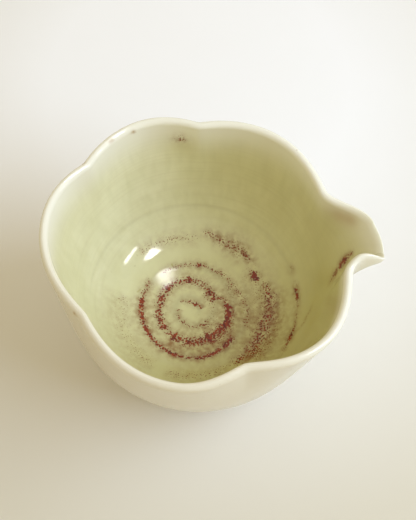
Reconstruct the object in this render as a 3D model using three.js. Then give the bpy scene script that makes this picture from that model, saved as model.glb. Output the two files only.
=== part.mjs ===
// Tea bowl with a lobed rim and a pouring lip: thrown on a wheel, pressed in at four places and pulled out
// at one, then glazed. Millimetres and degrees, +Z up, the foot stands on z = 0 and the lip points along +X.
import * as THREE from "three";

// Thrown outside of the clay, from the edge of the flat underside up to the rim
const bowlHeight = 73;
const rimRadius = 56.7;
const upperPullRadius = 51.6;
const upperPullHeight = 34;
const lowerPullRadius = 49;
const lowerPullHeight = 8.5;
const undersideRadius = 27;
const undersideHeight = 7.6;

// Thrown inside of the clay
const floorThickness = 4.5;
const floorPullRadius = 34;
const floorPullDrop = 0.4;
const cornerPullRadius = 49.3;
const cornerPullHeight = 16.5;
const floorEdgeRadius = 37;

// Rounded crest of the rim
const rimThickness = 2.9;
const crestRise = 1.9;

// Glazes
const rimGlaze = 0.3;
const wallGlaze = 0.45;
const pooledGlaze = 0.9;
const outerGlazeThickness = 0.4;
const outerGlazeEdge = 0.2;
const glazeLineRadius = 31;

// Foot ring and the glazed well inside it
const footContactRadius = 25.4;
const footFlare = 1.2;
const footWidth = 4.6;
const footBevel = 0.7;
const wellGlazeThickness = 0.4;
const wellGlazeMargin = 0.6;

// Presses of the rim: its shift out from the thrown circle at each one, where it is and how soft its bend is
const backPressShift = -2.4;
const backLeftPressShift = 0.3;
const frontLeftPressShift = -4.9;
const frontPressShift = -4.4;
const presses = [
  { angle: 90, shift: backPressShift, softness: 1.0 },
  { angle: 141, shift: backLeftPressShift, softness: 1.0 },
  { angle: 213.5, shift: frontLeftPressShift, softness: 1.3 },
  { angle: 289.5, shift: frontPressShift, softness: 1.3 },
];
const pressDepth = 48;
const pressFade = 1.6;

// Crowns of the lobes, where the rim swelled out between the presses, from the far side of the lip on
const backRightCrownShift = 1.1;
const backCrownShift = 3.3;
const leftCrownShift = 4.1;
const frontCrownShift = 0.7;
const frontRightCrownShift = 4.7;
const crowns = [
  { angle: 59, shift: backRightCrownShift },
  { angle: 116, shift: backCrownShift },
  { angle: 163, shift: leftCrownShift },
  { angle: 262, shift: frontCrownShift },
  { angle: 325, shift: frontRightCrownShift },
];

// Pulled lip, reaching past the thrown rim: two throats, a broad front edge and a tip pinched on one side
const farThroatShift = -2.6;
const nearThroatShift = 1.4;
const farThroat = { angle: 26, shift: farThroatShift, softness: 1.3 };
const nearThroat = { angle: 349, shift: nearThroatShift, softness: 1.0 };
const lipFrontAngle = 8;
const lipFrontReach = 10.5;
const lipTipAngle = -5.3;
const lipTipReach = 12.7;
const lipPinch = 3.2;
const lipDepth = 32;
const lipFade = 2.1;
const lipThinning = 0.3;
const lipDip = 0.8;
const pinchRise = 1.8;
const pinchLean = 1.7;
const pinchLeanDepth = 20;

// Spiral left on the floor by the thrower's finger
const spiralCentreX = -3.3;
const spiralCentreY = -0.6;
const spiralHub = 1;
const spiralStart = 2.6;
const spiralPitch = 7.1;
const spiralSway = 2.2;
const spiralSwayAngle = 97;
const spiralDepth = 0.5;
const spiralSharpness = 1.5;
const spiralEnd = 36;

// Fineness of the meshes
const segmentsPerBend = 4;
const segmentsPerLongBend = 6;
const longBend = 40;
const bendEasing = 1.15;
const pinchSegments = 7;
const lipFrontSegments = 4;
const lipSweepSegments = 6;
const outsideStationCount = 11;
const wallStations = 8;
const floorStations = 17;
const crestAngles = [0, 40, 90, 140, 180];
const chordHalfAngle = 3;
const halvings = 50;

const radians = THREE.MathUtils.degToRad;
const clamp = THREE.MathUtils.clamp;
const smoothStep = (t) => clamp(t, 0, 1) ** 2 * (3 - 2 * clamp(t, 0, 1));
const turn = (angle) => ((angle % 360) + 360) % 360;
const signedAngle = (angle) => (turn(angle) > 180 ? turn(angle) - 360 : turn(angle));

const shoulderHeight = bowlHeight - rimGlaze - crestRise;
const floorHeight = undersideHeight + floorThickness;

// Point of a cubic curve with its normal turned to the left of its run
function curveStation(curve, t) {
  const s = 1 - t;
  const weights = [s * s * s, 3 * s * s * t, 3 * s * t * t, t * t * t];
  const slopes = [-3 * s * s, 3 * s * (s - 2 * t), 3 * t * (2 * s - t), 3 * t * t];
  const sum = (w, axis) => curve.reduce((total, point, i) => total + w[i] * point[axis], 0);
  const run = sum(slopes, 0);
  const rise = sum(slopes, 1);
  const length = Math.hypot(run, rise);
  return { r: sum(weights, 0), z: sum(weights, 1), nr: -rise / length, nz: run / length };
}

// Place along a curve, from 0 to 1, where its radius or height reaches a value
function curvePlace(curve, key, value) {
  let low = 0;
  let high = 1;
  for (let i = 0; i < halvings; i += 1) {
    const middle = (low + high) / 2;
    if (curveStation(curve, middle)[key] < value) low = middle;
    else high = middle;
  }
  return (low + high) / 2;
}
const curveAt = (curve, key, value) => curveStation(curve, curvePlace(curve, key, value));

const outsideCurve = [
  [undersideRadius, undersideHeight],
  [lowerPullRadius, lowerPullHeight],
  [upperPullRadius, upperPullHeight],
  [rimRadius, bowlHeight],
];
const outerRadiusAt = (z) => curveAt(outsideCurve, "z", z).r;
const shoulderRadius = outerRadiusAt(shoulderHeight);
const insideCurve = [
  [0, floorHeight],
  [floorPullRadius, floorHeight - floorPullDrop],
  [cornerPullRadius, cornerPullHeight],
  [shoulderRadius - rimThickness, shoulderHeight],
];

// Stops round the rim in the order of their angles, and the directions between the lip's throats
const stops = [farThroat, ...presses, ...crowns, nearThroat].sort((a, b) => a.angle - b.angle);
const nearAngle = signedAngle(nearThroat.angle);
const onLip = (angle) => signedAngle(angle) > nearAngle && signedAngle(angle) < farThroat.angle;

// Shift of the rim between a bend and the crown beside it
function bendShift(bend, crown, angle) {
  const t = clamp((angle - bend.angle) / (crown.angle - bend.angle), 0, 1);
  return bend.shift + (crown.shift - bend.shift) * Math.sin((Math.PI / 2) * t) ** bend.softness;
}

// Shift of the rim as pressed into lobes, bridged across the lip
function lobedShift(angle) {
  if (onLip(angle)) {
    const t = (signedAngle(angle) - nearAngle) / (farThroat.angle - nearAngle);
    return nearThroat.shift + (farThroat.shift - nearThroat.shift) * smoothStep(t);
  }
  const i = stops.findIndex((stop, n) => n > 0 && turn(angle) <= stop.angle);
  const pair = [stops[i - 1], stops[i]];
  const bend = pair.find((stop) => stop.softness !== undefined);
  const crown = pair.find((stop) => stop.softness === undefined);
  return bendShift(bend, crown, turn(angle));
}

// Shift of the rim where it is pulled into the lip, signed angles from the lip's direction
function lipShift(signed) {
  if (signed >= lipFrontAngle) {
    const t = (farThroat.angle - signed) / (farThroat.angle - lipFrontAngle);
    return farThroat.shift + (lipFrontReach - farThroat.shift) * smoothStep(t);
  }
  if (signed >= lipTipAngle) {
    const t = (lipFrontAngle - signed) / (lipFrontAngle - lipTipAngle);
    return lipFrontReach + (lipTipReach - lipFrontReach) * t;
  }
  const t = (signed - nearAngle) / (lipTipAngle - nearAngle);
  return nearThroat.shift + (lipTipReach - nearThroat.shift) * t ** lipPinch;
}

const fade = (z, depth, power) => clamp((z - bowlHeight + depth) / depth, 0, 1) ** power;

// Outer edge of the clay at a height, seen from above
function edgePoint(angle, z) {
  const lobed = lobedShift(angle);
  const full = onLip(angle) ? lipShift(signedAngle(angle)) : lobed;
  const pressed = fade(z, pressDepth, pressFade) * lobed;
  const pulled = fade(z, lipDepth, lipFade) * (full - lobed);
  const radius = outerRadiusAt(z) + pressed + pulled;
  return [radius * Math.cos(radians(angle)), radius * Math.sin(radians(angle))];
}

// Outward direction of the edge, taken over a short chord
function edgeNormal(angle, z) {
  const [x0, y0] = edgePoint(angle - chordHalfAngle, z);
  const [x1, y1] = edgePoint(angle + chordHalfAngle, z);
  const length = Math.hypot(x1 - x0, y1 - y0);
  return [(y1 - y0) / length, (x0 - x1) / length];
}

// How far a direction belongs to the lip, from none at its throats to all at its front
function lipShare(angle) {
  if (!onLip(angle)) return 0;
  const signed = signedAngle(angle);
  const far = smoothStep((farThroat.angle - signed) / (farThroat.angle - lipFrontAngle));
  const near = smoothStep((signed - nearAngle) / (lipTipAngle - nearAngle));
  return Math.min(far, near);
}

// How far a direction belongs to the pinched side of the lip, most near the middle of its length
function pinchShare(angle) {
  const along = clamp((signedAngle(angle) - nearAngle) / (lipTipAngle - nearAngle), 0, 1);
  return Math.sin(Math.PI * along ** 2);
}

// Height of the rim against the level: dipped along the lip's front, raised along its pinched side
function rimLift(angle) {
  const across = clamp((lipFrontAngle - signedAngle(angle)) / (lipFrontAngle - lipTipAngle), 0, 1);
  return pinchRise * pinchShare(angle) - lipDip * Math.sin(Math.PI * across);
}

// Depth of the finger spiral below the thrown floor
function grooveDepth(x, y) {
  const dx = x - spiralCentreX;
  const dy = y - spiralCentreY;
  const distance = Math.hypot(dx, dy);
  const direction = Math.atan2(dy, dx);
  const sway = spiralSway * Math.cos(direction - radians(spiralSwayAngle));
  const phase = (2 * Math.PI * (distance - spiralStart - sway)) / spiralPitch - direction;
  const opening = smoothStep((distance - spiralHub) / spiralStart);
  const closing = smoothStep((spiralEnd - distance) / spiralPitch);
  return spiralDepth * opening * closing * ((1 + Math.cos(phase)) / 2) ** spiralSharpness;
}

// A station of a profile carried to one direction round the bowl
function place(station, angle) {
  if (station.r === 0) return [0, 0, station.z];
  const [ex, ey] = edgePoint(angle, station.z);
  const [nx, ny] = edgeNormal(angle, station.z);
  const thinning = 1 - lipThinning * lipShare(angle) * fade(station.z, lipDepth, 1);
  const inward = (outerRadiusAt(station.z) - station.r) * thinning;
  const lean = pinchLean * pinchShare(angle) * fade(station.z, pinchLeanDepth, 1);
  const x = ex - nx * inward - lean * Math.sin(radians(angle));
  const y = ey - ny * inward + lean * Math.cos(radians(angle));
  const groove = station.floor ? grooveDepth(x, y) : 0;
  const lift = rimLift(angle) * fade(station.z, lipDepth, 1);
  return [x, y, station.z - groove + lift];
}

// Directions round the bowl, closer together where the rim bends
function columnAngles() {
  const angles = [];
  for (let i = 1; i < stops.length; i += 1) {
    const [from, to] = [stops[i - 1], stops[i]];
    const span = to.angle - from.angle;
    const count = span > longBend ? segmentsPerLongBend : segmentsPerBend;
    for (let n = 0; n < count; n += 1) {
      const t = n / count;
      const eased = from.softness !== undefined ? t ** bendEasing : 1 - (1 - t) ** bendEasing;
      angles.push(from.angle + span * eased);
    }
  }
  const lipStretches = [
    [nearAngle, lipTipAngle, pinchSegments],
    [lipTipAngle, lipFrontAngle, lipFrontSegments],
    [lipFrontAngle, farThroat.angle, lipSweepSegments],
  ];
  for (const [from, to, count] of lipStretches) {
    for (let n = 0; n < count; n += 1) angles.push(from + ((to - from) * n) / count);
  }
  return angles.sort((a, b) => a - b);
}

const columns = columnAngles();
const lower = (a, b) => a.z < b.z || (a.z === b.z && a.r < b.r);

// Closed body of a profile loop carried round the bowl; loops that meet the axis close on it
function loopBody(name, loop, placeStation) {
  const positions = [];
  const rings = loop.map((station) => {
    const angles = station.r === 0 ? [0] : columns;
    const first = positions.length / 3;
    for (const angle of angles) positions.push(...placeStation(station, angle));
    return angles.map((_, i) => first + i);
  });
  const triangles = [];
  const triangle = (a, b, c) => {
    if (a !== b && b !== c && c !== a) triangles.push(a, b, c);
  };
  loop.forEach((station, i) => {
    const next = (i + 1) % loop.length;
    if (station.r === 0 && loop[next].r === 0) return;
    const at = (ring, k) => ring[k % ring.length];
    for (let k = 0; k < columns.length; k += 1) {
      const [a0, a1] = [at(rings[i], k), at(rings[i], k + 1)];
      const [b0, b1] = [at(rings[next], k), at(rings[next], k + 1)];
      if (lower(station, loop[next])) {
        triangle(a0, a1, b1);
        triangle(a0, b1, b0);
      } else {
        triangle(a0, a1, b0);
        triangle(a1, b1, b0);
      }
    }
  });
  const geometry = new THREE.BufferGeometry();
  geometry.setAttribute("position", new THREE.Float32BufferAttribute(positions, 3));
  geometry.setIndex(triangles);
  geometry.computeVertexNormals();
  const mesh = new THREE.Mesh(geometry, new THREE.MeshStandardMaterial());
  mesh.name = name;
  return mesh;
}

function evenly(from, to, count) {
  return Array.from({ length: count }, (_, i) => from + ((to - from) * i) / (count - 1));
}
const offset = (station, distance) => ({
  r: station.r + station.nr * distance,
  z: station.z + station.nz * distance,
  floor: station.floor,
});

// Outside of the clay below the crest, bottom to top, and the glaze on it
const glazeLinePlace = curvePlace(outsideCurve, "r", glazeLineRadius);
const shoulderPlace = curvePlace(outsideCurve, "z", shoulderHeight);
const outsidePlaces = evenly(glazeLinePlace, shoulderPlace, outsideStationCount);
const outsideStations = outsidePlaces.map((t) => curveStation(outsideCurve, t));
const clayOutside = outsideStations.map((station) => offset(station, 0));
const glazeOutside = outsideStations.map((station, i) => {
  const risen = smoothStep((station.z - shoulderHeight + lipDepth) / lipDepth);
  const full = outerGlazeThickness + (rimGlaze - outerGlazeThickness) * risen;
  return offset(station, i === 0 ? -outerGlazeEdge : -full);
});

// Crest from the outer shoulder over to the inner one
function crest(extraWidth, extraRise) {
  const halfWidth = rimThickness / 2 + extraWidth;
  return crestAngles.map((angle) => ({
    r: shoulderRadius - rimThickness / 2 + halfWidth * Math.cos(radians(angle)),
    z: shoulderHeight + (crestRise + extraRise) * Math.sin(radians(angle)),
  }));
}
const clayCrest = crest(0, 0).slice(1, -1);
const glazeCrest = crest(rimGlaze, rimGlaze).slice(1, -1);
const crestMiddle = (crestAngles.length - 3) / 2;

// Inside of the clay from the inner shoulder down to the middle of the floor, and the glaze on it
const cornerHeight = curveAt(insideCurve, "r", floorEdgeRadius).z;
const insideStations = [
  ...evenly(shoulderHeight, cornerHeight, wallStations).map((z) => curveAt(insideCurve, "z", z)),
  ...evenly(floorEdgeRadius, 0, floorStations).slice(1, -1).map((r) => curveAt(insideCurve, "r", r)),
].map((station, i) => ({ ...station, floor: i >= wallStations }));
const clayInside = insideStations.map((station) => offset(station, 0));
const glazeInside = insideStations.map((station) => {
  const risen = smoothStep((station.z - shoulderHeight + lipDepth) / lipDepth);
  const pooled = smoothStep((cornerHeight - station.z) / (cornerHeight - floorHeight));
  const thickness = wallGlaze + (rimGlaze - wallGlaze) * risen + (pooledGlaze - wallGlaze) * pooled;
  return offset(station, thickness);
});
const clayMiddle = { r: 0, z: floorHeight };
const glazeMiddle = { r: 0, z: floorHeight + pooledGlaze };

// Thrown body: one lump of clay with its wall, floor, lobes and lip
const thrownBody = loopBody("thrown_body", [
  { r: 0, z: undersideHeight },
  { r: undersideRadius, z: undersideHeight },
  ...clayOutside,
  ...clayCrest,
  ...clayInside,
  clayMiddle,
], place);

// Outer glaze, from the line above the foot up to the middle of the crest
const outerGlaze = loopBody("outer_glaze", [
  ...glazeOutside,
  ...glazeCrest.slice(0, crestMiddle + 1),
  ...clayCrest.slice(0, crestMiddle + 1).reverse(),
  ...[...clayOutside].reverse(),
], place);

// Inner glaze, from the middle of the crest down to the pool on the floor
const innerGlaze = loopBody("inner_glaze", [
  clayMiddle,
  ...[...clayInside].reverse(),
  ...clayCrest.slice(crestMiddle).reverse(),
  ...glazeCrest.slice(crestMiddle),
  ...glazeInside,
  glazeMiddle,
], place);

// Foot ring luted to the flat underside, and the glaze in its well
const turned = ({ r, z }, angle) => [r * Math.cos(radians(angle)), r * Math.sin(radians(angle)), z];
const footInnerRadius = footContactRadius - footWidth;
const footRing = loopBody("foot_ring", [
  { r: footInnerRadius + footBevel, z: 0 },
  { r: footContactRadius - footBevel, z: 0 },
  { r: footContactRadius, z: footBevel },
  { r: footContactRadius + footFlare, z: undersideHeight },
  { r: footInnerRadius - footFlare, z: undersideHeight },
  { r: footInnerRadius, z: footBevel },
], turned);
const wellRadius = footInnerRadius - footFlare - wellGlazeMargin;
const footWellGlaze = loopBody("foot_well_glaze", [
  { r: 0, z: undersideHeight - wellGlazeThickness },
  { r: wellRadius - wellGlazeThickness, z: undersideHeight - wellGlazeThickness },
  { r: wellRadius, z: undersideHeight },
  { r: 0, z: undersideHeight },
], turned);

const bowl = new THREE.Group();
bowl.name = "tea_bowl";
bowl.add(thrownBody, footRing, innerGlaze, outerGlaze, footWellGlaze);

// The bowl stands with the middle of its bounding box over the origin
const middle = new THREE.Box3().setFromObject(bowl).getCenter(new THREE.Vector3());
for (const mesh of bowl.children) mesh.geometry.translate(-middle.x, -middle.y, 0);

export default bowl;
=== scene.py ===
import math

import bpy
import numpy as np
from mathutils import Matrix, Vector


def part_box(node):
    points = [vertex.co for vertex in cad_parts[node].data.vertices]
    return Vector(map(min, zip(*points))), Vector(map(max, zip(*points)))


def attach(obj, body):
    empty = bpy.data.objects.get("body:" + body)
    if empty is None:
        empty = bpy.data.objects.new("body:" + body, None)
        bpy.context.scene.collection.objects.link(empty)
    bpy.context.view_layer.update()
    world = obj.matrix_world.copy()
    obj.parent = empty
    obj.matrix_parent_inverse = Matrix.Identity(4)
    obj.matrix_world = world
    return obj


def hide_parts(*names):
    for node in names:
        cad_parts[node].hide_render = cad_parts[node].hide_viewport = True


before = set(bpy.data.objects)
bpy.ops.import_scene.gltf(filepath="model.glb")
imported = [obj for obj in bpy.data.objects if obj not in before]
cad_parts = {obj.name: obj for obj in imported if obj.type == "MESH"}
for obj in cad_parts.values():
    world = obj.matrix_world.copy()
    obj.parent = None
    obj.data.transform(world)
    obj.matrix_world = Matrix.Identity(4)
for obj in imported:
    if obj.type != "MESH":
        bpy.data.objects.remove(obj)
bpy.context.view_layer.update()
mm = 0.001

# Camera: the photograph looks down into the bowl from 64 degrees above the table, half a metre away, through
# a long lens. The wheel's axis, where the foot ring stands, lies beside the middle of the part's box.
foot_low, foot_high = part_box("foot_ring")
wheel_axis = np.array([(foot_low[i] + foot_high[i]) / 2 / mm for i in (0, 1)] + [0])
photo_height = 520
lens_pixels = 1285
sensor_height = 36
nearest_seen = 0.01
view_elevation = math.radians(64)
view_distance = 0.54
target_from_axis = (3.57, 23.27, 13)
view_target = (wheel_axis + target_from_axis) * mm
bpy.ops.object.camera_add(
    location=(
        view_target[0],
        view_target[1] - view_distance * math.cos(view_elevation),
        view_target[2] + view_distance * math.sin(view_elevation),
    ),
    rotation=(math.pi / 2 - view_elevation, 0, 0),
)
camera = bpy.context.object
camera.name = "camera"
camera.data.sensor_fit = "VERTICAL"
camera.data.sensor_height = sensor_height
camera.data.lens = sensor_height * lens_pixels / photo_height
camera.data.clip_start = nearest_seen
bpy.context.scene.camera = camera

# Thrown body: buff stoneware, opened on the wheel by a finger that left a spiral on the floor, then pulled
# up into a deep bowl with a rounded rim. While soft it was pressed in at four places and drawn out into a
# pouring lip. Sizes from here on are in millimetres and degrees, round the wheel's axis.
bowl_height = 73.0
rim_radius = 56.7
underside = (27.0, 7.6)
outside_pulls = ((49.0, 8.5), (51.6, 34.0))
floor_height = 12.1
inside_pulls = ((49.3, 16.5), (34.0, 11.7))
rim_thickness = 2.9
crest_rise = 1.9
rim_glaze = 0.3
shoulder_height = bowl_height - rim_glaze - crest_rise

# Throats of the lip, each an angle and the rim's shift out from the thrown circle there; the rim's bends by
# angle, each with its shift and softness; and the shift at the crowns of the lobes between them
far_throat = (26.0, -2.6)
near_throat = (-11.0, 1.4)
bends = {
    far_throat[0]: (far_throat[1], 1.3),
    90: (-2.4, 1.0),
    141: (0.3, 1.0),
    213.5: (-4.9, 1.3),
    289.5: (-4.4, 1.3),
    near_throat[0] + 360: (near_throat[1], 1.3),
}
crowns = {59: 1.1, 116: 3.3, 163: 4.1, 262: 0.7, 325: 4.7}
press_depth = 48.0
press_fade = 1.6

# Lip: a broad front edge and a tip, each an angle and a reach past the thrown rim, pinched on the near side
lip_front = (8.0, 10.5)
lip_tip = (-5.3, 12.7)
lip_pinch = 3.2
lip_bulge = 1.0
lip_depth = 32.0
lip_fade = 2.1
lip_softening = 4.5
lip_thinning = 0.3
lip_dip = 0.8
pinch_rise = 1.8
pinch_lean = 1.7
pinch_lean_depth = 20.0

# Spiral left on the floor by the thrower's finger, its path swaying to one side, and the floor that it marks
spiral_centre = (-3.3, -0.6)
spiral_hub = 1.0
spiral_start = 2.6
spiral_pitch = 7.1
spiral_sway = 2.2
spiral_sway_angle = 97.0
spiral_sharpness = 1.5
spiral_end = 36.0
finger_depth = 0.5
floor_edge = 40.0
floor_fade = 4.0
floor_skin = 1.0


def smooth(t):
    """Eases from 0 to 1 as t goes from 0 to 1."""
    t = np.clip(t, 0, 1)
    return t * t * (3 - 2 * t)


def curve_points(curve, count):
    """Points along a curve given by its start, its two pulls and its end."""
    t = np.linspace(0, 1, count)[:, None]
    s = 1 - t
    a, b, c, d = (np.array(point, float) for point in curve)
    return s**3 * a + 3 * s * s * t * b + 3 * s * t * t * c + t**3 * d


# Points of an outline from which its radii and heights are read
fine_steps = 2000
outside_curve = (underside, *outside_pulls, (rim_radius, bowl_height))
outside_line = curve_points(outside_curve, fine_steps)


def thrown_radius(height):
    return np.interp(height, outside_line[:, 1], outside_line[:, 0])


def signed_angle(angle):
    """An angle from -180 to 180, so that the lip lies round 0."""
    return np.mod(angle + 180, 360) - 180


def lobed_shift(angle):
    """Shift of the rim as pressed into lobes, bridged across the lip."""
    turned = np.mod(angle, 360)
    places = sorted([*bends, *crowns])
    across = smooth((signed_angle(angle) - near_throat[0]) / (far_throat[0] - near_throat[0]))
    shift = near_throat[1] + (far_throat[1] - near_throat[1]) * across
    for start, end in zip(places, places[1:]):
        bend, crown = (start, end) if start in bends else (end, start)
        t = np.clip((turned - bend) / (crown - bend), 0, 1)
        bend_shift, softness = bends[bend]
        swung = bend_shift + (crowns[crown] - bend_shift) * np.sin(math.pi / 2 * t) ** softness
        shift = np.where((turned >= start) & (turned <= end), swung, shift)
    return shift


def lip_shift(signed):
    """Shift of the pulled lip: swept out on the far side, along its front, and pinched on the near side."""
    swept = smooth((far_throat[0] - signed) / (far_throat[0] - lip_front[0]))
    swept = far_throat[1] + (lip_front[1] - far_throat[1]) * swept
    along = np.clip((lip_front[0] - signed) / (lip_front[0] - lip_tip[0]), 0, 1)
    front = lip_front[1] + (lip_tip[1] - lip_front[1]) * along + lip_bulge * np.sin(math.pi * along)
    pinched = np.clip((signed - near_throat[0]) / (lip_tip[0] - near_throat[0]), 0, 1) ** lip_pinch
    pinched = near_throat[1] + (lip_tip[1] - near_throat[1]) * pinched
    return np.where(signed >= lip_front[0], swept, np.where(signed >= lip_tip[0], front, pinched))


def fade(height, depth, power):
    """How much of a push at the rim is left at a height, none of it from a depth below the rim."""
    return np.clip((height - bowl_height + depth) / depth, 0, 1) ** power


def pulled_shift(angle):
    """Shift of the rim with its lip."""
    signed = signed_angle(angle)
    on_lip = (signed > near_throat[0]) & (signed < far_throat[0])
    return np.where(on_lip, lip_shift(signed), lobed_shift(angle))


def edge_point(angle, height):
    """Outer edge of the clay in a direction at a height. The corners of the lip soften lower down."""
    lobed = lobed_shift(angle)
    spread = lip_softening * (1 - fade(height, lip_depth, 1))
    nearby = [angle + share * spread for share in (-1, -0.5, 0, 0.5, 1)]
    pulled = np.mean([pulled_shift(direction) for direction in nearby], axis=0)
    radius = thrown_radius(height) + fade(height, press_depth, press_fade) * lobed
    radius = radius + fade(height, lip_depth, lip_fade) * (pulled - lobed)
    return np.array([radius * np.cos(np.radians(angle)), radius * np.sin(np.radians(angle))])


def lip_share(angle):
    """How far a direction belongs to the lip, from none at its throats to all at its front."""
    signed = signed_angle(angle)
    far = smooth((far_throat[0] - signed) / (far_throat[0] - lip_front[0]))
    near = smooth((signed - near_throat[0]) / (lip_tip[0] - near_throat[0]))
    return np.minimum(far, near)


def pinch_share(angle):
    """How far a direction belongs to the pinched side of the lip."""
    along = np.clip((signed_angle(angle) - near_throat[0]) / (lip_tip[0] - near_throat[0]), 0, 1)
    return np.sin(math.pi * along**2)


def rim_lift(angle):
    """The rim dips along the lip's front and rises along its pinched side."""
    across = np.clip((lip_front[0] - signed_angle(angle)) / (lip_front[0] - lip_tip[0]), 0, 1)
    return pinch_rise * pinch_share(angle) - lip_dip * np.sin(math.pi * across)


def finger_mark(x, y):
    """How deep in the finger's path a point of the floor lies, from 0 to 1."""
    dx, dy = x - spiral_centre[0], y - spiral_centre[1]
    distance = np.hypot(dx, dy)
    direction = np.arctan2(dy, dx)
    sway = spiral_sway * np.cos(direction - math.radians(spiral_sway_angle))
    phase = 2 * math.pi * (distance - spiral_start - sway) / spiral_pitch - direction
    opening = smooth((distance - spiral_hub) / spiral_start)
    closing = smooth((spiral_end - distance) / spiral_pitch)
    return opening * closing * ((1 + np.cos(phase)) / 2) ** spiral_sharpness


def mesh_points(piece):
    """A piece's points in millimetres, one row each."""
    points = np.empty(len(piece.data.vertices) * 3)
    piece.data.vertices.foreach_get("co", points)
    return points.reshape(-1, 3) / mm


def set_points(piece, points):
    piece.data.vertices.foreach_set("co", (points * mm).ravel())
    piece.data.update()


# Columns of faces crowd together at the lip and opposite it. The wall's run is taken between directions this
# far to both sides, and a point this near the axis stays on it.
column_crowding = 17.0
crowding_turn = 7.0
run_reach = 3.0
axis_width = 0.01


def press_and_pull(piece, marked=0.0):
    """Moves the points of a turned piece as the soft bowl was pressed, pulled and marked by the finger."""
    x, y, z = mesh_points(piece).T
    radius = np.hypot(x, y)
    even = np.degrees(np.arctan2(y, x))
    angle = even - column_crowding * np.sin(2 * np.radians(even + crowding_turn))
    inward = thrown_radius(z) - radius
    inward = inward * (1 - lip_thinning * lip_share(angle) * fade(z, lip_depth, 1))
    run = edge_point(angle + run_reach, z) - edge_point(angle - run_reach, z)
    run = run / np.hypot(*run)
    edge = edge_point(angle, z)
    lean = pinch_lean * pinch_share(angle) * fade(z, pinch_lean_depth, 1)
    on_axis = radius < axis_width
    new_x = np.where(on_axis, 0, edge[0] - run[1] * inward - lean * np.sin(np.radians(angle)))
    new_y = np.where(on_axis, 0, edge[1] + run[0] * inward + lean * np.cos(np.radians(angle)))
    on_floor = smooth((floor_edge - radius) / floor_fade) * (z > floor_height - floor_skin)
    groove = finger_mark(new_x, new_y) * on_floor
    new_z = z + rim_lift(angle) * fade(z, lip_depth, 1) - marked * groove
    set_points(piece, np.stack([new_x, new_y, new_z], axis=1))
    return {"height": z, "angle": angle, "groove": groove}


def deselect():
    if bpy.context.object and bpy.context.object.mode != "OBJECT":
        bpy.ops.object.mode_set(mode="OBJECT")
    bpy.ops.object.select_all(action="DESELECT")


def draw_stretch(curve, steps):
    """Draws one curve of a profile and turns it to edges."""
    deselect()
    bpy.ops.curve.primitive_bezier_curve_add()
    stretch = bpy.context.object
    stretch.data.resolution_u = steps
    start, end = stretch.data.splines[0].bezier_points
    for point in (start, end):
        point.handle_left_type = "FREE"
        point.handle_right_type = "FREE"
    places = [(r * mm, 0, z * mm) for r, z in curve]
    start.co, start.handle_left, start.handle_right = places[0], places[0], places[1]
    end.co, end.handle_left, end.handle_right = places[3], places[2], places[3]
    bpy.ops.object.convert(target="MESH")
    return stretch


# Widest gaps, in metres, that close where curves join and where a turned shape meets itself
curve_gap = 1e-7
seam_gap = 4e-7


def turn_on_wheel(name, profile, columns):
    """Joins the curves of a profile, each with its steps, and spins them round the axis into a piece."""
    lines = [draw_stretch(curve, steps) for curve, steps in profile]
    deselect()
    for line in lines:
        line.select_set(True)
    bpy.context.view_layer.objects.active = lines[0]
    bpy.ops.object.join()
    piece = bpy.context.object
    piece.name = name
    bpy.ops.object.mode_set(mode="EDIT")
    bpy.ops.mesh.select_all(action="SELECT")
    bpy.ops.mesh.remove_doubles(threshold=curve_gap)
    bpy.ops.mesh.spin(steps=columns, angle=2 * math.pi, center=(0, 0, 0), axis=(0, 0, 1))
    bpy.ops.mesh.select_all(action="SELECT")
    bpy.ops.mesh.remove_doubles(threshold=seam_gap)
    bpy.ops.mesh.normals_make_consistent(inside=False)
    bpy.ops.object.mode_set(mode="OBJECT")
    return piece


def straight(start, end):
    """A straight line as a curve."""
    start, end = np.array(start, float), np.array(end, float)
    return start, start + (end - start) / 3, start + (end - start) * 2 / 3, end


def rounded(start, corner, end):
    """Quarter turn from start to end, rounding a corner."""
    quarter_pull = 0.5523
    start, corner, end = (np.array(point, float) for point in (start, corner, end))
    return start, start + (corner - start) * quarter_pull, end + (corner - end) * quarter_pull, end


def cut_curve(curve, t):
    """The part of a curve before t."""
    a, b, c, d = (np.array(point, float) for point in curve)
    ab, bc, cd = a + (b - a) * t, b + (c - b) * t, c + (d - c) * t
    abc, bcd = ab + (bc - ab) * t, bc + (cd - bc) * t
    return a, ab, abc, abc + (bcd - abc) * t


def shifted(curve, *shifts):
    """A curve with each of its four points moved."""
    return tuple(np.array(point, float) + np.array(shift, float) for point, shift in zip(curve, shifts))


shoulder_place = np.interp(shoulder_height, outside_line[:, 1], np.linspace(0, 1, len(outside_line)))
clay_outside = cut_curve(outside_curve, shoulder_place)
shoulder_radius = clay_outside[3][0]
inner_shoulder = (shoulder_radius - rim_thickness, shoulder_height)
crest_middle = (shoulder_radius - rim_thickness / 2, shoulder_height + crest_rise)
outer_crest = rounded(clay_outside[3], (shoulder_radius, crest_middle[1]), crest_middle)
inner_crest = rounded(crest_middle, (inner_shoulder[0], crest_middle[1]), inner_shoulder)
clay_inside = (inner_shoulder, *inside_pulls, (0, floor_height))

thrown_clay = turn_on_wheel(
    "thrown_clay",
    [
        (straight((0, underside[1]), underside), 6),
        (clay_outside, 40),
        (outer_crest, 4),
        (inner_crest, 4),
        (clay_inside, 60),
    ],
    columns=240,
)
press_and_pull(thrown_clay, finger_depth)


def set_down(piece, crease_angle=40):
    """Stands a turned piece on its place in the frame and smooths its faces."""
    set_points(piece, mesh_points(piece) + wheel_axis)
    deselect()
    piece.select_set(True)
    bpy.context.view_layer.objects.active = piece
    bpy.ops.object.shade_smooth_by_angle(angle=math.radians(crease_angle))


def linear(colour):
    """A colour written as sRGB hex, as the shader takes it."""
    parts = [int(colour[i : i + 2], 16) / 255 for i in (0, 2, 4)]
    return (*[c / 12.92 if c <= 0.04045 else ((c + 0.055) / 1.055) ** 2.4 for c in parts], 1.0)


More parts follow.
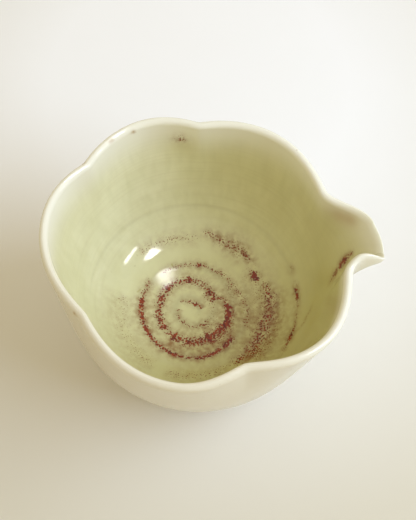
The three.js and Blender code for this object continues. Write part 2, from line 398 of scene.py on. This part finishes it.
def add(tree, kind, links, **settings):
    """Adds a node with its settings, and sets or links its sockets by name or number.

    By number, a mix takes its share and two colours, and a map range takes its value, the range that comes
    in and the range that goes out, which is 0 to 1 where it isn't given.
    """
    made = tree.nodes.new(kind)
    for name, value in settings.items():
        setattr(made, name, value)
    for key, value in links.items():
        if isinstance(value, bpy.types.NodeSocket):
            tree.links.new(value, made.inputs[key])
        else:
            made.inputs[key].default_value = value
    return made.outputs[0]


def start_material(name):
    material = bpy.data.materials.new(name)
    material.use_nodes = True
    tree = material.node_tree
    return material, tree, tree.nodes["Principled BSDF"]


def dress(piece, material, node):
    """Gives a piece its material, hangs it under the root body and hides the part of the frame it stands
    for.
    """
    piece.data.materials.clear()
    piece.data.materials.append(material)
    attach(piece, "root")
    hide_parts(node)


# Buff stoneware, fired and left bare under the glazes: a dry, sandy, slightly uneven surface. The sand is
# drawn a little coarser than it would be, so that it shows.
pale_sand = linear("d9c8a8")
dark_sand = linear("bfa37c")
toasted_clay = linear("c49c74")
stoneware, tree, shader = start_material("buff_stoneware")
place = add(tree, "ShaderNodeTexCoord", {}).node.outputs["Object"]
sand = add(tree, "ShaderNodeTexNoise", {"Vector": place, "Scale": 1 / (0.7 * mm), "Detail": 3.0})
fire = add(tree, "ShaderNodeTexNoise", {"Vector": place, "Scale": 1 / (11 * mm), "Detail": 2.0})
sandy = add(tree, "ShaderNodeMixRGB", {0: sand, 1: pale_sand, 2: dark_sand})
fired = add(tree, "ShaderNodeMixRGB", {0: fire, 1: sandy, 2: toasted_clay})
tree.links.new(fired, shader.inputs["Base Color"])
shader.inputs["Roughness"].default_value = 0.85
shader.inputs["IOR"].default_value = 1.5
grain = add(tree, "ShaderNodeBump", {"Strength": 0.5, "Distance": 0.12 * mm, "Height": sand})
tree.links.new(grain, shader.inputs["Normal"])
set_down(thrown_clay)
dress(thrown_clay, stoneware, "thrown_body")

# Foot ring: a coil of the same stoneware luted to the underside, trimmed square and slightly flared on the
# wheel, its standing edge bevelled and wiped clean of glaze.
foot_contact = 25.4
foot_flare = 1.2
foot_width = 4.6
foot_bevel = 0.7
foot_inner = foot_contact - foot_width
turned_foot = turn_on_wheel(
    "turned_foot",
    [
        (straight((foot_inner + foot_bevel, 0), (foot_contact - foot_bevel, 0)), 6),
        (rounded((foot_contact - foot_bevel, 0), (foot_contact, 0), (foot_contact, foot_bevel)), 4),
        (straight((foot_contact, foot_bevel), (foot_contact + foot_flare, underside[1])), 8),
        (straight((foot_contact + foot_flare, underside[1]), (foot_inner - foot_flare, underside[1])), 6),
        (straight((foot_inner - foot_flare, underside[1]), (foot_inner, foot_bevel)), 8),
        (rounded((foot_inner, foot_bevel), (foot_inner, 0), (foot_inner + foot_bevel, 0)), 4),
    ],
    columns=180,
)
set_down(turned_foot, crease_angle=50)
dress(turned_foot, stoneware, "foot_ring")

# Glaze in the foot ring's well: a puddle of the outside glaze, swept in with a brush, rounded where it stops
# short of the ring.
well_margin = 0.6
well_depth = 0.4
well_roll = 1.0
well_radius = foot_inner - foot_flare - well_margin
well_floor = underside[1] - well_depth
well_edge = (well_radius - well_roll, well_floor)
well_glaze = turn_on_wheel(
    "well_glaze",
    [
        (straight((0, underside[1]), (well_radius, underside[1])), 6),
        (rounded((well_radius, underside[1]), (well_radius, well_floor), well_edge), 6),
        (straight(well_edge, (0, well_floor)), 24),
    ],
    columns=180,
)
set_down(well_glaze)


def note(piece, name, values):
    """Keeps a number for each point of a piece, for its material to read. One that isn't kept reads as 0."""
    piece.data.attributes.new(name, "FLOAT", "POINT").data.foreach_set("value", values)


# The puddle is nowhere thin
note(well_glaze, "thin", np.zeros(len(well_glaze.data.vertices)))

# Dipped glaze over buff clay: a warm white, soft in its gloss, with faint clouds and a few iron specks. It
# is palest along the rim's crest and on the lip, where this is partly painted light, and warmer and darker
# at the front left as painted shade on the near side.
cream_white = linear("ece8d5")
clouded_cream = linear("e1dbc1")
rim_cream = linear("f6f3e0")
shaded_front_cream = linear("e2d8bc")
speck_brown = linear("9a6a44")
iron_tan = linear("a67c34")
cream_glaze, tree, shader = start_material("cream_dipped_glaze")
notes = {}
for name in ("thin", "front", "iron"):
    notes[name] = add(tree, "ShaderNodeAttribute", {}, attribute_name=name).node.outputs["Fac"]
place = add(tree, "ShaderNodeTexCoord", {}).node.outputs["Object"]
clouds = add(tree, "ShaderNodeTexNoise", {"Vector": place, "Scale": 1 / (16 * mm), "Detail": 2.0})
white = add(tree, "ShaderNodeMixRGB", {0: clouds, 1: cream_white, 2: clouded_cream})
cream = add(tree, "ShaderNodeMixRGB", {0: notes["thin"], 1: white, 2: rim_cream})
# Painted shade: the near side warmer and darker
cream = add(tree, "ShaderNodeMixRGB", {0: notes["front"], 1: cream, 2: shaded_front_cream})
iron = add(tree, "ShaderNodeTexNoise", {"Vector": place, "Scale": 1 / (1.3 * mm), "Detail": 1.0})
specks = add(tree, "ShaderNodeMapRange", {0: iron, 1: 0.79, 2: 0.84})
specked = add(tree, "ShaderNodeMixRGB", {0: specks, 1: cream, 2: speck_brown})
specked = add(tree, "ShaderNodeMixRGB", {0: notes["iron"], 1: specked, 2: iron_tan})
tree.links.new(specked, shader.inputs["Base Color"])
shader.inputs["Roughness"].default_value = 0.2
shader.inputs["IOR"].default_value = 1.5
skin = add(tree, "ShaderNodeTexNoise", {"Vector": place, "Scale": 1 / (3 * mm), "Detail": 1.0})
skin = add(tree, "ShaderNodeBump", {"Strength": 0.25, "Distance": 0.12 * mm, "Height": skin})
tree.links.new(skin, shader.inputs["Normal"])
dress(well_glaze, cream_glaze, "foot_well_glaze")

# Outer glaze: the same thin cream-white glaze, in which the bowl was dipped. It covers the outside from
# the crest of the rim down to a line above the foot, where it ends in a rounded edge.
outer_glaze = 0.4
line_radius = 31.0
line_roll = 0.5
line_lean = 0.1


def rest_of_curve(curve, t):
    """The part of a curve after t."""
    return tuple(reversed(cut_curve(tuple(reversed(curve)), 1 - t)))


line_place = np.interp(line_radius, outside_line[:, 0], np.linspace(0, 1, len(outside_line)))
glazed_clay = rest_of_curve(clay_outside, line_place / shoulder_place)
cream_face = shifted(
    glazed_clay,
    (line_lean, -outer_glaze),
    (0, -outer_glaze),
    (outer_glaze, 0),
    (rim_glaze, 0),
)
crest_top = (crest_middle[0], bowl_height)
edge_corner = (glazed_clay[0][0] - line_roll, glazed_clay[0][1] - outer_glaze)
cream_outside = turn_on_wheel(
    "cream_outside",
    [
        (rounded(glazed_clay[0], edge_corner, cream_face[0]), 4),
        (cream_face, 90),
        (rounded(cream_face[3], (cream_face[3][0], bowl_height), crest_top), 8),
        (straight(crest_top, crest_middle), 1),
        (tuple(reversed(outer_crest)), 4),
        (tuple(reversed(glazed_clay)), 30),
    ],
    columns=360,
)
at = press_and_pull(cream_outside)

# The pale band where the glaze ran thin under the crest, and how much deeper it is on the lip, where the
# deeper band is also painted light on the lip's lit outer face
crest_band = 3.5
lit_lip_band = 12.0
band_depth = crest_band + lit_lip_band * lip_share(at["angle"])
note(cream_outside, "thin", smooth((at["height"] - bowl_height) / band_depth + 1))

# Painted shade on the near side, a warmer and darker cream: how strong, how broad, and in which direction
front_shade_strength = 0.6
front_shade_breadth = 1.2
front_shade_direction = -115.0


def front_shade_share(angle):
    """How strongly shade is painted on the glaze, warmer and darker: most at the front left, none on the
    lip.
    """
    facing = smooth(front_shade_breadth * np.cos(np.radians(angle - front_shade_direction)))
    return front_shade_strength * facing * (1 - lip_share(angle))


# The "front" note holds painted shade on the near side
note(cream_outside, "front", front_shade_share(at["angle"]))

# Iron spots that burnt through the glaze on the rim: place, half width and strength
iron_spots = [
    ((-33.9, 45.4, 72.5), 0.7, 1.0),
    ((-25.6, 50.2, 71.2), 0.8, 0.8),
    ((-44.3, 35.6, 72.0), 0.9, 1.0),
    ((-44.6, -27.0, 71.5), 0.7, 0.8),
]


def spots_over(piece, spots, widened=1.0):
    """How strongly round spots cover each point of a piece."""
    points = mesh_points(piece)
    cover = np.zeros(len(points))
    for spot, width, strength in spots:
        gap = np.linalg.norm(points - spot, axis=1) / (width * widened)
        cover = cover + strength * np.exp(-(gap**2))
    return cover


note(cream_outside, "iron", spots_over(cream_outside, iron_spots))
set_down(cream_outside)
dress(cream_outside, cream_glaze, "outer_glaze")

# Inner glaze: a celadon poured in and swilled round, fired to a clear gloss. It is thin and creamy on the
# crest, pale green on the wall and pooled thick on the floor, where it all but fills the finger's path and
# copper red broke through it in specks.
wall_glaze = 0.45
pooled_glaze = 0.9
glaze_relief = 0.05
celadon_face = shifted(
    clay_inside,
    (-rim_glaze, 0),
    (-wall_glaze, wall_glaze),
    (0, pooled_glaze),
    (0, pooled_glaze),
)
celadon_inside = turn_on_wheel(
    "celadon_inside",
    [
        (rounded(crest_top, (celadon_face[0][0], bowl_height), celadon_face[0]), 8),
        (celadon_face, 160),
        (straight((0, floor_height + pooled_glaze), (0, floor_height)), 1),
        (tuple(reversed(clay_inside)), 30),
        (tuple(reversed(inner_crest)), 4),
        (straight(crest_middle, crest_top), 1),
    ],
    columns=360,
)

# The finger's path where it left the floor and climbed the far wall: its heights at three angles, where it
# begins and ends, how softly, its half width and its depth
climb_angles = (30, 121, 175)
climb_heights = (22.8, 28.6, 28.8)
climb_start = 20.0
climb_end = 185.0
climb_fade = 25.0
climb_width = 0.9
climb_depth = 0.14


def climbing_mark(angle, height):
    """How deep in the climbing path a point of the wall lies, from 0 to 1."""
    path = np.interp(angle, climb_angles, climb_heights)
    ends = smooth((angle - climb_start) / climb_fade) * smooth((climb_end - angle) / climb_fade)
    return ends * np.exp(-(((height - path) / climb_width) ** 2))


inside_line = curve_points(clay_inside, fine_steps)[::-1]
x, y, z = mesh_points(celadon_inside).T
distance_as_thrown = np.hypot(x, y)
glaze_side = smooth((z - np.interp(distance_as_thrown, *inside_line.T)) / wall_glaze)
climb = climbing_mark(np.degrees(np.arctan2(y, x)), z)
wider = 1 + climb_depth * glaze_side * climb / np.maximum(distance_as_thrown, axis_width)
set_points(celadon_inside, np.stack([x * wider, y * wider, z], axis=1))
at = press_and_pull(celadon_inside, finger_depth + (glaze_relief - finger_depth) * glaze_side)

# Copper patches along the spiral: the angles where each begins and ends, its distances there from the
# spiral's centre, its half width and its strength
copper_arcs = [
    (60, 135, 3.6, 6.0, 1.1, 0.66),
    (20, 66, 4.6, 3.6, 1.0, 0.72),
    (165, 228, 5.2, 5.5, 1.0, 0.55),
    (228, 240, 5.5, 5.6, 0.9, 0.75),
    (240, 330, 5.8, 7.6, 1.1, 0.42),
    (28, 95, 11.0, 14.4, 2.1, 0.62),
    (92, 135, 14.4, 14.6, 1.9, 0.7),
    (132, 165, 14.3, 13.2, 2.3, 0.8),
    (165, 212, 13.4, 13.2, 2.4, 0.7),
    (210, 240, 13.1, 13.0, 2.2, 0.6),
    (236, 305, 13.1, 13.6, 2.7, 0.76),
    (300, 338, 13.6, 14.6, 2.5, 0.74),
    (336, 372, 15.2, 15.1, 1.7, 0.88),
    (8, 30, 15.0, 13.4, 1.3, 0.6),
    (300, 420, 8.5, 9.5, 2.6, 0.3),
    (300, 400, 17.5, 17.5, 2.4, 0.26),
    (82, 125, 21.3, 21.0, 1.2, 0.5),
    (72, 84, 21.2, 21.2, 1.1, 0.7),
    (40, 70, 21.0, 21.2, 1.3, 0.52),
    (5, 40, 22.6, 20.0, 1.8, 0.42),
    (140, 168, 21.6, 20.9, 1.4, 0.56),
    (166, 206, 20.9, 20.1, 1.4, 0.84),
    (204, 252, 20.1, 20.3, 1.3, 0.82),
    (250, 276, 20.6, 20.9, 1.0, 0.75),
    (276, 298, 21.2, 20.8, 1.2, 0.92),
    (297, 314, 20.7, 20.7, 1.1, 0.75),
    (313, 327, 20.7, 20.5, 1.4, 0.85),
    (340, 365, 22.6, 23.0, 1.8, 0.46),
    (84, 132, 32.0, 32.4, 1.6, 0.36),
    (72, 82, 34.0, 34.2, 1.4, 0.52),
    (64, 72, 32.8, 33.0, 1.6, 0.6),
    (46, 64, 33.2, 33.0, 2.8, 0.48),
    (40, 47, 32.8, 32.6, 1.0, 0.62),
    (26, 34, 30.4, 30.4, 1.3, 0.88),
    (10, 22, 32.7, 32.6, 1.6, 0.5),
    (352, 372, 31.6, 32.6, 2.2, 0.38),
    (338, 354, 31.1, 31.3, 3.3, 0.42),
    (318, 338, 31.8, 31.0, 3.8, 0.42),
    (306, 316, 29.8, 29.8, 1.5, 0.5),
    (300, 400, 28.6, 29.5, 4.0, 0.28),
    (318, 372, 36.0, 36.0, 3.0, 0.22),
    (250, 300, 29.8, 29.2, 2.4, 0.36),
    (168, 240, 28.2, 29.6, 3.4, 0.28),
]
# Brown hazes of copper with few specks in them, given as the patches are
copper_hazes = [
    (314, 366, 31.6, 31.6, 4.2, 0.6),
    (38, 74, 33.0, 33.2, 3.0, 0.4),
    (230, 335, 16.5, 17.0, 3.0, 0.3),
]
# Copper lines higher up: the angles where each begins and ends round the wheel's axis, its heights there,
# its half width and its strength
copper_lines = [
    (323, 336, 24.2, 23.7, 0.9, 0.5),
    (333, 343, 23.6, 23.8, 1.0, 0.8),
    (343, 368, 23.8, 23.4, 0.8, 0.46),
    (0, 12, 23.6, 23.5, 0.8, 0.5),
    (17, 23, 24.0, 24.0, 0.8, 0.55),
    (341, 352, 27.0, 31.8, 0.7, 0.4),
]
# Copper spots by the lip, where the glaze ran together, and in the dent under the back press: place, half
# width and strength, as for the two lists below
copper_spots = [
    ((55.2, 1.3, 57.3), 1.5, 1.2),
    ((54.2, 0.4, 54.9), 1.3, 1.1),
    ((56.3, 1.9, 59.4), 1.1, 1.0),
    ((57.5, 2.4, 61.6), 1.0, 0.9),
    ((53.3, -0.4, 52.8), 1.2, 0.5),
    ((52.4, -1.2, 50.6), 1.6, 0.7),
    ((51.2, -2.4, 48.0), 1.8, 0.45),
    ((-7.2, 51.9, 63.0), 2.4, 0.55),
]
# Places where the wall is painted darker: painted shade in the dent under the back press, a darker patch by
# the far throat, a painted shadow on the far wall and painted shade low on the right wall; and places where
# the glaze left the far throat of the lip almost bare
painted_shade_spots = [
    ((-6.6, 51.6, 60.5), 5.5, 0.7),
    ((50.9, 17.3, 66.0), 4.0, 0.5),
    ((8.0, 50.0, 50.0), 16.0, 0.35),
    ((49.0, -6.0, 42.0), 15.0, 0.4),
]
bare_spots = [
    ((53.6, 15.6, 67.5), 3.6, 0.5),
    ((57.9, 13.3, 68.6), 3.0, 0.5),
]

# Degrees over which a patch or line fades at its ends, and the height that patches stay below
arc_fade = 7.0
patch_top = 30.0


def along_arc(angle, across, arc, widened):
    """Strength of a copper patch or line at points with these angles and distances across it."""
    start, end, first, last, width, strength = arc
    past = np.mod(angle - start + arc_fade, 360) - arc_fade
    span = end - start
    ends = smooth(past / arc_fade + 0.5) * smooth((span - past) / arc_fade + 0.5)
    gap = (across - first - (last - first) * past / span) / (width * widened)
    return strength * ends * np.exp(-(gap**2))


def patches_over(piece, arcs, widened=1.0):
    """How strongly patches along the spiral cover each point of a piece."""
    x, y, z = mesh_points(piece).T
    dx, dy = x - spiral_centre[0], y - spiral_centre[1]
    direction = np.degrees(np.arctan2(dy, dx))
    distance = np.hypot(dx, dy)
    return sum(along_arc(direction, distance, arc, widened) for arc in arcs) * (z < patch_top)


def copper_over(piece, widened=1.0):
    """How much copper lies at each point of a piece, from none to over 1 where patches meet."""
    x, y, z = mesh_points(piece).T
    from_axis = np.degrees(np.arctan2(y, x))
    copper = patches_over(piece, copper_arcs, widened)
    for line in copper_lines:
        copper = copper + along_arc(from_axis, z, line, widened)
    return copper + spots_over(piece, copper_spots, math.sqrt(widened))


# The brown haze spreads wider than the grains, and where patches meet, the copper counts only up to a limit
haze_widening = 2.0
most_copper = 1.4
blush = copper_over(celadon_inside, haze_widening) + patches_over(celadon_inside, copper_hazes)
note(celadon_inside, "copper", np.clip(copper_over(celadon_inside), 0, most_copper))
note(celadon_inside, "blush", np.clip(blush, 0, 1))

# The glaze ran thick to the near right as the bowl was tipped to pour it out, and lies thin on the far left
# wall; on top of that, the near right is painted darker as painted shade on walls that face away from the
# window, and the far left wall paler as painted light. The creamy band under the crest is deepest on the far
# left, where it is also painted light, and weaker on the lip.
thick_and_shaded_direction = -70.0
band_on_thick_and_shaded_side = 12.0
lit_side_band_growth = 13.0
band_power = 1.5
band_loss_on_lip = 0.3
thick_glaze_and_shade = 0.5 + 0.5 * np.cos(np.radians(at["angle"] - thick_and_shaded_direction))
band_depth = band_on_thick_and_shaded_side + lit_side_band_growth * (1 - thick_glaze_and_shade)
x, y, z = mesh_points(celadon_inside).T
thin = smooth((z - bowl_height) / band_depth + 1) ** band_power
note(celadon_inside, "thin", thin * (1 - band_loss_on_lip * lip_share(at["angle"])))
note(celadon_inside, "thick_glaze_and_shade", np.clip(thick_glaze_and_shade + spots_over(celadon_inside, painted_shade_spots), 0, 1))
# The "front" note holds painted shade on the near side
note(celadon_inside, "front", front_shade_share(at["angle"]))
note(celadon_inside, "bare", spots_over(celadon_inside, bare_spots))
note(celadon_inside, "iron", spots_over(celadon_inside, iron_spots))

# The pool fills the bottom up to a height, and is less pale away from the middle, and towards the near right
# as painted shade from the near wall
pool_top = 26.0
pool_fade = 12.0
near_shade_start = 6.0
near_shade_fade = 14.0
near_shade_loss = 0.8
outer_start = 20.0
outer_fade = 8.0
outer_loss = 0.3
near_right_shade = thick_glaze_and_shade * smooth((distance_as_thrown - near_shade_start) / near_shade_fade)
pooled = smooth((pool_top - z) / pool_fade) * (1 - near_shade_loss * near_right_shade)
pooled = pooled * (1 - outer_loss * smooth((distance_as_thrown - outer_start) / outer_fade))
note(celadon_inside, "pooled", pooled)

# The finger's path shows through the glaze as far as this from the spiral's centre, and fainter up the wall
furrow_end = 27.0
furrow_fade = 5.0
climb_share = 0.5
from_spiral = np.hypot(x - spiral_centre[0], y - spiral_centre[1])
furrow = at["groove"] * smooth((furrow_end - from_spiral) / furrow_fade)
note(celadon_inside, "furrow", np.maximum(furrow, climb_share * climb))

# Celadon glaze with copper: clear gloss over a pale green that deepens where it ran thick and where shade
# is painted, and pales where light is painted, with fine lines and faint runs on the wall and a few yellow
# spots in the pool. Where the copper is, dark red grains under a millimetre wide crowd in a brown haze.
thin_and_lit_celadon = linear("edeac4")
thick_and_shaded_celadon = linear("cdc688")
cloud_green = linear("ccc793")
run_green = linear("cbc795")
line_buff = linear("c4b98a")
pool_green = linear("e1deac")
furrow_grey = linear("bdb68c")
shaded_crest_cream = linear("e9dfc4")
bare_tan = linear("b8935a")
haze_brown = linear("8e5822")
faint_copper = linear("8c5434")
dark_red = linear("581202")
bright_red = linear("a8400e")
pool_yellow = linear("a89a3c")
celadon, tree, shader = start_material("copper_speckled_celadon_glaze")
notes = {}
for name in ("thick_glaze_and_shade", "pooled", "furrow", "front", "thin", "bare", "iron", "blush", "copper"):
    notes[name] = add(tree, "ShaderNodeAttribute", {}, attribute_name=name).node.outputs["Fac"]
place = add(tree, "ShaderNodeTexCoord", {}).node.outputs["Object"]
clouds = add(tree, "ShaderNodeTexNoise", {"Vector": place, "Scale": 1 / (14 * mm), "Detail": 2.0})
# Painted light and shade: paler on the lit far left wall, darker towards the shaded near right
wall = add(tree, "ShaderNodeMixRGB", {0: notes["thick_glaze_and_shade"], 1: thin_and_lit_celadon, 2: thick_and_shaded_celadon})
cloud_share = add(tree, "ShaderNodeMapRange", {0: clouds, 1: 0.3, 2: 0.8, 3: 0.0, 4: 0.35})
wall = add(tree, "ShaderNodeMixRGB", {0: cloud_share, 1: wall, 2: cloud_green})
upright = add(tree, "ShaderNodeMapping", {"Vector": place, "Scale": (1, 1, 0.12)})
runs = add(tree, "ShaderNodeTexNoise", {"Vector": upright, "Scale": 1 / (3.5 * mm), "Detail": 2.0})
run_share = add(tree, "ShaderNodeMapRange", {0: runs, 1: 0.4, 2: 0.75, 3: 0.0, 4: 0.25})
wall = add(tree, "ShaderNodeMixRGB", {0: run_share, 1: wall, 2: run_green})
level = add(tree, "ShaderNodeMapping", {"Vector": place, "Scale": (0.04, 0.04, 1)})
lines = add(tree, "ShaderNodeTexNoise", {"Vector": level, "Scale": 1 / (1.1 * mm), "Detail": 2.0})
line_share = add(tree, "ShaderNodeMapRange", {0: lines, 1: 0.45, 2: 0.7, 3: 0.0, 4: 0.11})
wall = add(tree, "ShaderNodeMixRGB", {0: line_share, 1: wall, 2: line_buff})
pool_share = add(tree, "ShaderNodeMath", {0: notes["pooled"], 1: 0.85}, operation="MULTIPLY")
pool = add(tree, "ShaderNodeMixRGB", {0: pool_share, 1: wall, 2: pool_green})
furrow_share = add(tree, "ShaderNodeMath", {0: notes["furrow"], 1: 0.4}, operation="MULTIPLY")
furrowed = add(tree, "ShaderNodeMixRGB", {0: furrow_share, 1: pool, 2: furrow_grey})
# The crest gets painted shade at the front left, warmer and darker
crest = add(tree, "ShaderNodeMixRGB", {0: notes["front"], 1: rim_cream, 2: shaded_crest_cream})
thinned = add(tree, "ShaderNodeMixRGB", {0: notes["thin"], 1: furrowed, 2: crest})
bare_share = add(tree, "ShaderNodeMath", {0: notes["bare"], 1: 0.8}, operation="MULTIPLY")
bared = add(tree, "ShaderNodeMixRGB", {0: bare_share, 1: thinned, 2: bare_tan})
burnt = add(tree, "ShaderNodeMixRGB", {0: notes["iron"], 1: bared, 2: iron_tan})
haze = add(tree, "ShaderNodeTexNoise", {"Vector": place, "Scale": 1 / (2.2 * mm), "Detail": 3.0})
haze_share = add(tree, "ShaderNodeMapRange", {0: haze, 1: 0.35, 2: 0.65, 3: 0.2, 4: 0.85})
haze_share = add(tree, "ShaderNodeMath", {0: haze_share, 1: notes["blush"]}, operation="MULTIPLY")
blushed = add(tree, "ShaderNodeMixRGB", {0: haze_share, 1: burnt, 2: haze_brown})

# A grain shows as far from its middle as the copper there reaches, duller where there is little copper
grains = add(tree, "ShaderNodeTexVoronoi", {"Vector": place, "Scale": 1 / (0.8 * mm)})
grain_tint = grains.node.outputs["Color"]
reach = add(tree, "ShaderNodeMath", {0: notes["copper"], 1: 0.84, 2: 0.06}, operation="MULTIPLY_ADD")
showing = add(tree, "ShaderNodeMath", {0: reach, 1: grains}, operation="SUBTRACT")
specks = add(tree, "ShaderNodeMapRange", {0: showing, 1: 0.0, 2: 0.14})
red = add(tree, "ShaderNodeMixRGB", {0: grain_tint, 1: dark_red, 2: bright_red})
red_share = add(tree, "ShaderNodeMapRange", {0: notes["copper"], 1: 0.3, 2: 0.7})
red = add(tree, "ShaderNodeMixRGB", {0: red_share, 1: faint_copper, 2: red})
speckled = add(tree, "ShaderNodeMixRGB", {0: specks, 1: blushed, 2: red})
yellow = add(tree, "ShaderNodeTexNoise", {"Vector": place, "Scale": 1 / (2.4 * mm), "Detail": 0.0})
yellow_share = add(tree, "ShaderNodeMapRange", {0: yellow, 1: 0.8, 2: 0.84, 3: 0.0, 4: 0.5})
yellow_share = add(tree, "ShaderNodeMath", {0: yellow_share, 1: notes["pooled"]}, operation="MULTIPLY")
spotted = add(tree, "ShaderNodeMixRGB", {0: yellow_share, 1: speckled, 2: pool_yellow})
tree.links.new(spotted, shader.inputs["Base Color"])
shader.inputs["Roughness"].default_value = 0.11
shader.inputs["Specular IOR Level"].default_value = 0.35
shader.inputs["IOR"].default_value = 1.52
skin = add(tree, "ShaderNodeTexNoise", {"Vector": place, "Scale": 1 / (3.5 * mm), "Detail": 1.0})
skin = add(tree, "ShaderNodeBump", {"Strength": 0.08, "Distance": 0.12 * mm, "Height": skin})
line_relief = {"Strength": 0.15, "Distance": 0.05 * mm, "Height": lines, "Normal": skin}
turned = add(tree, "ShaderNodeBump", line_relief)
tree.links.new(turned, shader.inputs["Normal"])
set_down(celadon_inside)
dress(celadon_inside, celadon, "inner_glaze")

# Floor: a wide sheet of white paper, matt, brightest behind the bowl, warmer and darker round it as painted
# shade, and white again further off. It is toned down under the window, whose light would burn it out. Sizes
# from here on are in metres.
sheet_size = 8
brightest_place = (-0.005, 0.119, 0)
window_foot = (0.89, -0.09, 0)
paper_white = linear("ffffff")
shaded_warm_paper = linear("e0dac8")
toned_paper = linear("b6b2a4")
fibre_buff = linear("d8d2c2")
bpy.ops.mesh.primitive_plane_add(size=sheet_size)
floor = bpy.context.object
floor.name = "floor"
paper, tree, shader = start_material("white_paper")
place = add(tree, "ShaderNodeTexCoord", {}).node.outputs["Object"]
from_brightest = add(tree, "ShaderNodeVectorMath", {0: place, 1: brightest_place}, operation="DISTANCE")
from_brightest = from_brightest.node.outputs["Value"]
# Painted shade: the paper warmer and darker round the bowl
painted_shade_share = add(tree, "ShaderNodeMapRange", {0: from_brightest, 1: 0.07, 2: 0.213})
tone = add(tree, "ShaderNodeMixRGB", {0: painted_shade_share, 1: paper_white, 2: shaded_warm_paper})
beyond = add(tree, "ShaderNodeMapRange", {0: from_brightest, 1: 0.28, 2: 0.9})
tone = add(tree, "ShaderNodeMixRGB", {0: beyond, 1: tone, 2: paper_white})
from_window = add(tree, "ShaderNodeVectorMath", {0: place, 1: window_foot}, operation="DISTANCE")
from_window = from_window.node.outputs["Value"]
clear_of_glare = add(tree, "ShaderNodeMapRange", {0: from_window, 1: 0.42, 2: 0.78})
tone = add(tree, "ShaderNodeMixRGB", {0: clear_of_glare, 1: toned_paper, 2: tone})
fibres = add(tree, "ShaderNodeTexNoise", {"Vector": place, "Scale": 1 / (30 * mm), "Detail": 2.0})
fibre_share = add(tree, "ShaderNodeMath", {0: fibres, 1: 0.06}, operation="MULTIPLY")
tone = add(tree, "ShaderNodeMixRGB", {0: fibre_share, 1: tone, 2: fibre_buff})
tree.links.new(tone, shader.inputs["Base Color"])
shader.inputs["Roughness"].default_value = 0.8
shader.inputs["Specular IOR Level"].default_value = 0.2
floor.data.materials.append(paper)

# Light: a broad soft window at the right, warm light from the room all round, and three narrow panes that
# only show as glints in the glaze.
aim_height = 0.02
window_turn = math.radians(-6)
window_rise = math.radians(42)
window_distance = 1.2
window_size = (1.1, 0.8)
window_power = 13.5
pane_distance = 1.0


def hang_window(name, turn, rise, distance, size, power, colour):
    """Hangs a lit rectangle in a direction round the bowl, turned to face it."""
    bpy.ops.object.light_add(type="AREA")
    window = bpy.context.object
    window.name = name
    window.data.shape = "RECTANGLE"
    window.data.size, window.data.size_y = size
    window.data.energy = power
    window.data.color = linear(colour)[:3]
    window.location = (
        distance * math.cos(rise) * math.cos(turn),
        distance * math.cos(rise) * math.sin(turn),
        aim_height + distance * math.sin(rise),
    )
    window.rotation_euler = (math.pi / 2 - rise, 0, turn + math.pi / 2)
    return window


window = hang_window(
    "window", window_turn, window_rise, window_distance, window_size, window_power, "d0e2ff"
)
window.visible_glossy = False

# Panes: the direction from the bowl to each, its size and its power
panes = [
    ((0.487, -0.201, 0.850), (0.16, 0.16), 3.8),
    ((0.190, 0.184, 0.965), (0.19, 0.085), 1.3),
    ((0.808, -0.225, 0.543), (0.26, 0.09), 2.2),
]
for number, (toward, size, power) in enumerate(panes):
    turn = math.atan2(toward[1], toward[0])
    rise = math.asin(toward[2] / math.hypot(*toward))
    pane = hang_window(f"pane_{number}", turn, rise, pane_distance, size, power, "ffffff")
    pane.visible_diffuse = False

# Room: a warm glow lights the bowl all round, and a pale backdrop is what is seen straight on, mirrored or
# through glass
room_glow = linear("fff1cf")
pale_backdrop = linear("f8f6ee")
glow_strength = 0.61
backdrop_strength = 1.0
world = bpy.data.worlds.new("room")
world.use_nodes = True
bpy.context.scene.world = world
tree = world.node_tree
room = tree.nodes["Background"]
paths = add(tree, "ShaderNodeLightPath", {}).node.outputs
seen = paths["Is Camera Ray"]
for kind in ("Is Glossy Ray", "Is Transmission Ray"):
    seen = add(tree, "ShaderNodeMath", {0: seen, 1: paths[kind]}, operation="MAXIMUM")
colour = add(tree, "ShaderNodeMixRGB", {0: seen, 1: room_glow, 2: pale_backdrop})
strength = add(tree, "ShaderNodeMapRange", {0: seen, 3: glow_strength, 4: backdrop_strength})
tree.links.new(colour, room.inputs["Color"])
tree.links.new(strength, room.inputs["Strength"])
bpy.context.scene.view_settings.view_transform = "Standard"
